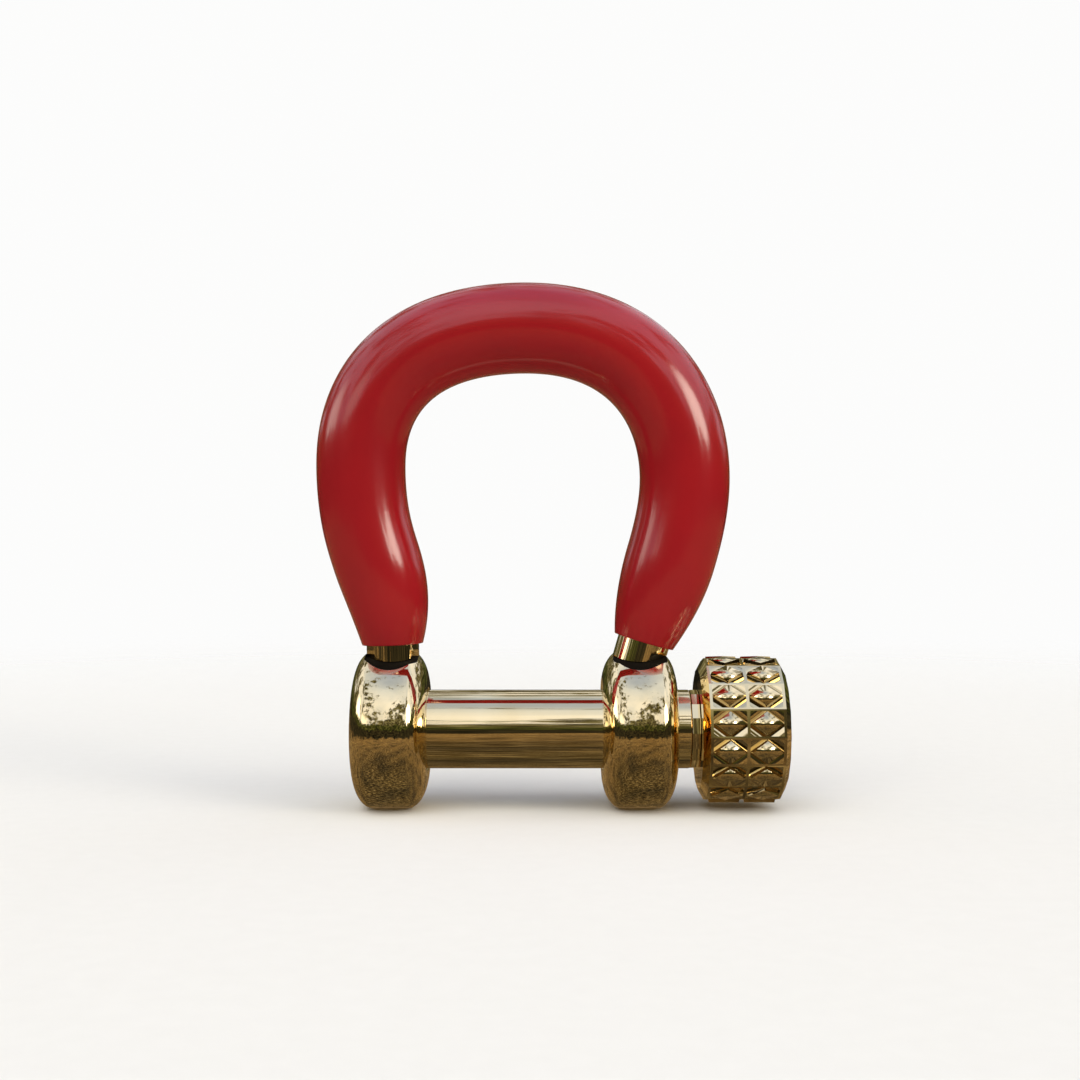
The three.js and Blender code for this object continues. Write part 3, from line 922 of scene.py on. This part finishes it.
class Tree:
    """Short ways to add and link shader nodes."""

    def __init__(self, tree):
        self.tree = tree
        tree.nodes.clear()

    def feed(self, socket, value):
        """Links an output to a socket, or sets a constant on it."""
        if isinstance(value, bpy.types.NodeSocket):
            self.tree.links.new(value, socket)
        else:
            socket.default_value = value

    def add(self, kind, settings=None, **inputs):
        """A node. Its inputs are given by number, as i0, or by name, with _ for a space."""
        node = self.tree.nodes.new(kind)
        for key, value in (settings or {}).items():
            setattr(node, key, value)
        for key, value in inputs.items():
            numbered = key[0] == "i" and key[1:].isdigit()
            self.feed(node.inputs[int(key[1:]) if numbered else key.replace("_", " ")], value)
        return node

    def math(self, operation, first, second=0.0, clamp=False):
        settings = {"operation": operation, "use_clamp": clamp}
        return self.add("ShaderNodeMath", settings, i0=first, i1=second).outputs[0]

    def plus(self, first, second, clamp=False):
        return self.math("ADD", first, second, clamp)

    def minus(self, first, second):
        return self.math("SUBTRACT", first, second)

    def scaled(self, first, second):
        return self.math("MULTIPLY", first, second)

    def dot(self, first, second):
        node = self.add("ShaderNodeVectorMath", {"operation": "DOT_PRODUCT"}, i0=first, i1=second)
        return node.outputs["Value"]

    def ramp(self, factor, stops, mode="LINEAR"):
        node = self.add("ShaderNodeValToRGB", i0=factor)
        node.color_ramp.interpolation = mode
        elements = node.color_ramp.elements
        while len(elements) < len(stops):
            elements.new(0.5)
        for element, (place, colour) in zip(elements, stops):
            element.position = place
            element.color = (*colour, 1.0)
        return node.outputs[0]

    def fade(self, factor, start, end, mode="LINEAR"):
        """From 0 where the factor is at its start to 1 at its end."""
        return self.ramp(factor, [(start, BLACK), (end, WHITE)], mode)

    def times(self, first, second):
        """Two colours multiplied."""
        settings = {"data_type": "RGBA", "blend_type": "MULTIPLY"}
        return self.add("ShaderNodeMix", settings, i0=1.0, i6=first, i7=second).outputs[2]

    def mix(self, factor, first, second):
        """From the first colour to the second."""
        node = self.add("ShaderNodeMix", {"data_type": "RGBA"}, i0=factor)
        for socket, colour in ((6, first), (7, second)):
            linked = isinstance(colour, bpy.types.NodeSocket)
            self.feed(node.inputs[socket], colour if linked else (*colour, 1.0))
        return node.outputs[2]

    def noise(self, where, scale, detail=4.0, roughness=0.5):
        """Smooth noise from 0 to 1, mostly near its middle."""
        inputs = {"Vector": where, "Scale": scale, "Detail": detail, "Roughness": roughness}
        return self.add("ShaderNodeTexNoise", **inputs).outputs[0]

    def place(self, factors=(1, 1, 1)):
        """Places on the object, stretched along X, Y and Z."""
        where = self.add("ShaderNodeTexCoord").outputs["Object"]
        return self.add("ShaderNodeMapping", i0=where, Scale=factors).outputs[0]

    def bump(self, height, strength, distance):
        node = self.add("ShaderNodeBump", Strength=strength, Distance=distance, Height=height)
        return node.outputs[0]

    def surface(self, **inputs):
        """The shader, and the material's output."""
        shader = self.add("ShaderNodeBsdfPrincipled", **inputs)
        self.add("ShaderNodeOutputMaterial", Surface=shader.outputs[0])


def material(name):
    """A new material and its emptied node tree."""
    made = bpy.data.materials.new(name)
    made.use_nodes = True
    return made, Tree(made.node_tree)


WEAR_REACH = 0.25 * MM
GOLD_TONE = (0.94, 0.79, 0.49)
# painted shade: a darker gold for the knob's stud walls, standing in for the shade on them
GOLD_SHADOWED = (0.50, 0.38, 0.18)
GOLD_DEEPENED = (0.93, 0.89, 0.80)  # factors on the tone where it is tarnished
GOLD_WORN = (0.97, 0.86, 0.60)


def edge_wear(tree, patches):
    """From 0 on the faces to 1 where handling has rubbed the edges, in patches."""
    softened = tree.add("ShaderNodeBevel", {"samples": 4}, Radius=WEAR_REACH).outputs[0]
    plain = tree.add("ShaderNodeNewGeometry").outputs["Normal"]
    edge = tree.ramp(tree.dot(softened, plain), [(0.88, WHITE), (0.985, BLACK)])
    return tree.scaled(edge, tree.fade(patches, 0.42, 0.60))


def gold(name, tone, scratches=(1.0, 1.0, 1.0)):
    """Polished gold plating: soft tarnish, fine rubbed lines, pale rubbed edges and a
    faintly uneven surface."""
    made, tree = material(name)
    place = tree.place()
    cloud = tree.noise(place, 90, 3)
    grain = tree.noise(tree.place(scratches), 900, 5, 0.6)
    worn = edge_wear(tree, tree.noise(place, 420, 4))
    deep = tuple(c * k for c, k in zip(tone, GOLD_DEEPENED))
    colour = tree.mix(tree.fade(cloud, 0.35, 0.7), tone, deep)
    colour = tree.mix(worn, colour, GOLD_WORN)
    rubbed = tree.scaled(tree.minus(grain, 0.5), 0.06)
    dull = tree.scaled(tree.minus(cloud, 0.4), 0.09)
    rough = tree.plus(tree.plus(rubbed, dull), 0.03, clamp=True)
    rough = tree.plus(rough, tree.scaled(worn, 0.12))
    wavy = tree.bump(tree.noise(place, 55, 2), 0.03, 0.0006)
    tree.surface(Base_Color=colour, Metallic=1.0, Roughness=rough, Normal=wavy)
    return made


def red_sleeve():
    """Moulded soft plastic: even red, a fine skin, faint rubbed patches and paler edges."""
    made, tree = material("red_plastic")
    place = tree.place()
    cloud = tree.noise(place, 45, 4)
    worn = edge_wear(tree, tree.noise(place, 300, 4))
    patches = tree.fade(cloud, 0.25, 0.78, "EASE")
    colour = tree.mix(patches, (0.335, 0.0095, 0.013), (0.275, 0.008, 0.0115))
    colour = tree.mix(worn, colour, (0.46, 0.06, 0.06))
    rough = tree.plus(tree.scaled(cloud, 0.12), 0.11)
    rough = tree.plus(rough, tree.scaled(worn, 0.15))
    skin = tree.bump(tree.noise(place, 620, 3), 0.08, 0.0002)
    tree.surface(
        Base_Color=colour, Roughness=rough, Normal=skin, Coat_Weight=0.35, Coat_Roughness=0.06
    )
    return made


def steel():
    """Bare turned steel with rings of fine tool marks."""
    made, tree = material("turned_steel")
    marks = tree.noise(tree.place((14, 1, 1)), 700, 4, 0.6)
    cloud = tree.noise(tree.place(), 120, 3)
    colour = tree.mix(cloud, (0.52, 0.53, 0.54), (0.36, 0.365, 0.38))
    colour = tree.mix(edge_wear(tree, cloud), colour, (0.70, 0.71, 0.72))
    rough = tree.plus(tree.scaled(marks, 0.22), 0.18)
    cut = tree.bump(marks, 0.15, 0.0001)
    tree.surface(Base_Color=colour, Metallic=1.0, Roughness=rough, Normal=cut)
    return made


def pocket_painted_shade():
    """Painted shade: a near-black, barely glossy inside for the slots round the rod's feet."""
    made, tree = material("pocket_painted_shade")
    grain = tree.noise(tree.place(), 700, 4)
    # painted shade: near black where the slot lies in shade
    colour = tree.mix(grain, (0.002, 0.0015, 0.001), (0.008, 0.006, 0.004))
    rough = tree.plus(tree.scaled(grain, 0.3), 0.45)
    pitted = tree.bump(grain, 0.2, 0.0001)
    tree.surface(Base_Color=colour, Roughness=rough, Normal=pitted, Specular_IOR_Level=0.05)
    return made


# ---- the pieces


def place_piece(piece, look, body, slot, *nodes):
    """Gives a piece its look and says what it moves with and stands for. Its slot is not used."""
    piece.data.materials.append(look)
    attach(piece, body)
    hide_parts(*nodes)


plating = gold("gold_plating", GOLD_TONE)
# gold darkened as painted shade, for the knob's stud walls
painted_shade_gold = gold("gold_painted_shade", GOLD_SHADOWED)
turned_plating = gold("gold_turned", GOLD_TONE, (9.0, 1.0, 1.0))
red = red_sleeve()
bare = steel()
slot_shade_look = pocket_painted_shade()

place_piece(build_rod(), plating, "bow_assembly", "gold_plate", "bow_rod")
place_piece(build_sleeve(), red, "bow_assembly", "red_sleeve", "bow_sleeve")

# The ears and the knob each have a second material, on their faces with material index 1: painted
# shade, near black in the ears' slots and a darker gold on the knob's stud walls.
left_forging = crowned(cut_pocket(build_left_ear(), LEFT_FOOT, 0.0), LEFT)
place_piece(left_forging, plating, "bow_assembly", "gold_plate", "left_ear")
# the slot's inside gets near-black painted shade
paint_slot_shade(left_forging, LEFT_FOOT, slot_shade_look)
right_forging = crowned(cut_pocket(build_right_ear(), RIGHT_FOOT, RIGHT_LEAN), RIGHT)
place_piece(right_forging, plating, "bow_assembly", "gold_plate", "right_ear")
paint_slot_shade(right_forging, RIGHT_FOOT, slot_shade_look)

left_dowel = build_dowel("left_dowel_end", LEFT, -1)
place_piece(left_dowel, plating, "bow_assembly", "gold_plate", "left_ear_dowel")
right_dowel = build_dowel("right_dowel_end", RIGHT, 1)
place_piece(right_dowel, plating, "bow_assembly", "gold_plate", "right_ear_dowel")

barrel = weigh_normals(build_barrel())
place_piece(barrel, turned_plating, "barrel", "gold_plate", "pin_barrel")
collar = weigh_normals(build_collar())
place_piece(collar, turned_plating, "thrust_ring", "gold_plate", "thrust_collar")

place_piece(build_bolt(), bare, "knob_screw", "bare_steel", "pin_bolt")
knob = build_knob()
place_piece(knob, plating, "knob_screw", "gold_plate", "knob")
# the stud walls' gold with painted shade
knob.data.materials.append(painted_shade_gold)
place_piece(build_end_screw(), bare, "knob_screw", "bare_steel", "knob_end_screw")

# ---- floor, light and camera

FLOOR_RADIUS = 1.4
FLOOR_TONES = ((0.79, 0.775, 0.715), (0.82, 0.805, 0.745))
BACKGROUND = (0.975, 0.975, 0.97, 1)
WARM_WHITE = (1.0, 0.96, 0.90)


def build_floor():
    """A pale disc that fades into the pale surroundings by 0.6 m from the middle."""
    sides, rings = 96, 12
    points = []
    for i in range(1, rings + 1):
        r = FLOOR_RADIUS * (i / rings) ** 1.6
        for j in range(sides):
            angle = 2 * math.pi * j / sides
            points.append((r * math.cos(angle), r * math.sin(angle), 0.0))
    faces = [tuple(range(sides))]
    for i in range(rings - 1):
        a, b = i * sides, (i + 1) * sides
        for j in range(sides):
            k = (j + 1) % sides
            faces.append((a + j, a + k, b + k, b + j))
    mesh = bpy.data.meshes.new("floor")
    mesh.from_pydata(points, [], faces)
    floor = add_object("floor", mesh)
    made, tree = material("pale_floor")
    where = tree.add("ShaderNodeTexCoord").outputs["Object"]
    length = tree.add("ShaderNodeVectorMath", {"operation": "LENGTH"}, i0=where).outputs["Value"]
    near = tree.ramp(length, [(0.12, WHITE), (0.60, BLACK)], "EASE")
    colour = tree.mix(tree.noise(where, 260, 3), *FLOOR_TONES)
    diffuse = tree.add("ShaderNodeBsdfDiffuse", Color=colour).outputs[0]
    clear = tree.add("ShaderNodeBsdfTransparent").outputs[0]
    mixed = tree.add("ShaderNodeMixShader", i0=near, i1=clear, i2=diffuse).outputs[0]
    tree.add("ShaderNodeOutputMaterial", Surface=mixed)
    mesh.materials.append(made)
    floor.visible_glossy = False


# Colours of the surroundings, each by the noise or the height that it follows.
SKY = [
    (0.0, (0.96, 0.95, 0.96)),
    (0.70, (1.02, 1.06, 1.20)),
    (0.90, (0.74, 0.83, 1.04)),
    (1.0, (0.42, 0.52, 0.80)),
]
CLOUDS = [(0.35, (0.82, 0.84, 0.88)), (0.62, (1.06, 1.04, 1.02))]
FOLIAGE = [
    (0.36, (0.022, 0.019, 0.010)),
    (0.48, (0.085, 0.074, 0.036)),
    (0.56, (0.18, 0.165, 0.080)),
    (0.66, (0.40, 0.38, 0.24)),
]
BUSHES = [
    (0.38, (0.012, 0.013, 0.005)),
    (0.52, (0.055, 0.062, 0.016)),
    (0.66, (0.17, 0.17, 0.060)),
]
SHADE = [(0.40, (0.006, 0.006, 0.004)), (0.70, (0.075, 0.062, 0.032))]
LITTER = [
    (0.38, (0.016, 0.012, 0.007)),
    (0.48, (0.070, 0.050, 0.026)),
    (0.55, (0.170, 0.115, 0.054)),
    (0.63, (0.46, 0.34, 0.20)),
]
EARTH_PATCHES = [(0.36, (0.55, 0.57, 0.60)), (0.60, (1.35, 1.28, 1.08))]
EARTH_LIGHT = [  # by how far down, from the horizon to straight below
    (0.10, (2.1, 2.0, 1.9)),
    (0.30, (1.45, 1.40, 1.35)),
    (0.65, (0.90, 0.92, 0.95)),
    (1.0, (0.70, 0.76, 0.82)),
]

# Bright gaps in the trees: which way, cosines of their inner and outer angle, radiance.
SKY_GLOWS = (
    (Vector((0.78, -0.55, 0.30)), 0.990, 0.950, (9.0, 8.2, 7.0)),
    (Vector((-0.64, -0.73, 0.24)), 0.992, 0.965, (1.6, 1.55, 1.4)),
    (Vector((-0.97, -0.05, 0.22)), 0.985, 0.940, (3.0, 2.8, 2.5)),
)


def sky_and_trees(tree, way, boughs, tone):
    """A hazy sky behind loose trees, with bright gaps between them."""
    aside, ahead, height = tree.add("ShaderNodeSeparateXYZ", i0=way).outputs
    clouds = tree.noise(way, 2.4, 4)
    sky = tree.times(tree.ramp(height, SKY), tree.ramp(clouds, CLOUDS))
    clumps = tree.noise(way, 3.2, 2)
    leaves = tree.noise(way, 60.0, 6, 0.7)
    density = tree.plus(tree.scaled(clumps, 0.45), tree.scaled(leaves, 0.22))
    density = tree.plus(density, tree.scaled(boughs, 0.33))
    reach = tree.plus(tree.scaled(ahead, 0.14), 0.80)
    climb = tree.scaled(tree.math("DIVIDE", height, reach), 0.115)
    climb = tree.plus(climb, tree.scaled(tree.math("ABSOLUTE", aside), 0.035))
    cover = tree.minus(density, tree.plus(climb, 0.408))
    share = tree.fade(tree.plus(cover, 0.5), 0.497, 0.520)
    above = tree.mix(share, sky, tree.ramp(tone, FOLIAGE))
    for towards, inner, outer, colour in SKY_GLOWS:
        near = tree.fade(tree.dot(way, towards), outer, inner, "EASE")
        above = tree.mix(near, above, colour)
    return above


def littered_earth(tree, way):
    """Brown ground with dead leaves on it, lighter towards the horizon."""
    aside, ahead, height = tree.add("ShaderNodeSeparateXYZ", i0=way).outputs
    down = tree.scaled(height, -1.0)
    depth = tree.math("MAXIMUM", down, 0.10)
    across = tree.math("DIVIDE", aside, depth)
    away = tree.math("DIVIDE", ahead, depth)
    spot = tree.add("ShaderNodeCombineXYZ", i0=across, i1=away).outputs[0]
    drawn_out = tree.add("ShaderNodeMapping", i0=spot, Scale=(0.4, 1, 1)).outputs[0]
    earth = tree.ramp(tree.noise(drawn_out, 40.0, 5, 0.68), LITTER)
    earth = tree.times(earth, tree.ramp(tree.noise(spot, 1.6, 4), EARTH_PATCHES))
    return tree.times(earth, tree.ramp(down, EARTH_LIGHT))


def build_world():
    """Surroundings for the polish to mirror: sky and trees over bushes, a dark verge under
    them and brown earth. The camera itself sees a plain pale background."""
    world = bpy.data.worlds.new("surroundings")
    bpy.context.scene.world = world
    world.use_nodes = True
    tree = Tree(world.node_tree)
    way = tree.add("ShaderNodeTexCoord").outputs["Generated"]
    _, ahead, height = tree.add("ShaderNodeSeparateXYZ", i0=way).outputs
    boughs = tree.noise(way, 12.0, 4, 0.6)
    tone = tree.noise(way, 30.0, 6, 0.6)
    ragged = tree.scaled(tree.minus(boughs, 0.5), 0.34)
    behind = tree.scaled(tree.math("MAXIMUM", ahead, 0.0), 0.12)
    rise = tree.plus(tree.plus(height, ragged), tree.plus(behind, 0.5))
    verge = tree.plus(tree.plus(height, tree.scaled(ragged, 0.8)), 0.5)
    bushes = tree.ramp(tone, BUSHES)
    low = tree.mix(tree.fade(rise, 0.572, 0.600), tree.ramp(tone, SHADE), bushes)
    low = tree.mix(tree.fade(rise, 0.69, 0.71), low, sky_and_trees(tree, way, boughs, tone))
    around = tree.mix(tree.fade(verge, 0.362, 0.41), littered_earth(tree, way), low)
    seen = tree.add("ShaderNodeLightPath").outputs["Is Camera Ray"]
    pale = tree.add("ShaderNodeBackground", Color=BACKGROUND, Strength=1.0).outputs[0]
    mirrored = tree.add("ShaderNodeBackground", Color=around, Strength=1.0).outputs[0]
    mixed = tree.add("ShaderNodeMixShader", i0=seen, i1=mirrored, i2=pale).outputs[0]
    tree.add("ShaderNodeOutputWorld", Surface=mixed)


def soft_light(name, place, breadth, strength, colour):
    """A wide, soft light from one side that the polish doesn't mirror."""
    light = bpy.data.lights.new(name, "SUN")
    light.angle = breadth
    light.energy = strength
    light.color = colour
    lamp = add_object(name, light)
    lamp.rotation_euler = (-Vector(place)).to_track_quat("-Z", "Y").to_euler()
    lamp.visible_glossy = False


def build_camera():
    """Level, about 0.3 m in front of the pin and a little to its right."""
    aside, back, height = 5.11, 307.5, 54.71
    data = bpy.data.cameras.new("camera")
    data.lens = 50
    data.sensor_width = 36
    data.clip_start = 0.01
    data.clip_end = 20
    camera = add_object("camera", data)
    camera.location = Vector((aside + MIDDLE, -back, height)) * MM
    camera.rotation_euler = (math.pi / 2, 0, 0)
    bpy.context.scene.camera = camera


build_floor()
build_world()
soft_light("key", (-0.35, -0.55, 0.75), math.radians(45), 1.20, WARM_WHITE)
soft_light("fill", (0.5, -0.35, 0.6), math.radians(60), 0.5, WARM_WHITE)
build_camera()
bpy.context.scene.view_settings.view_transform = "Standard"
bpy.context.scene.cycles.glossy_bounces = 10
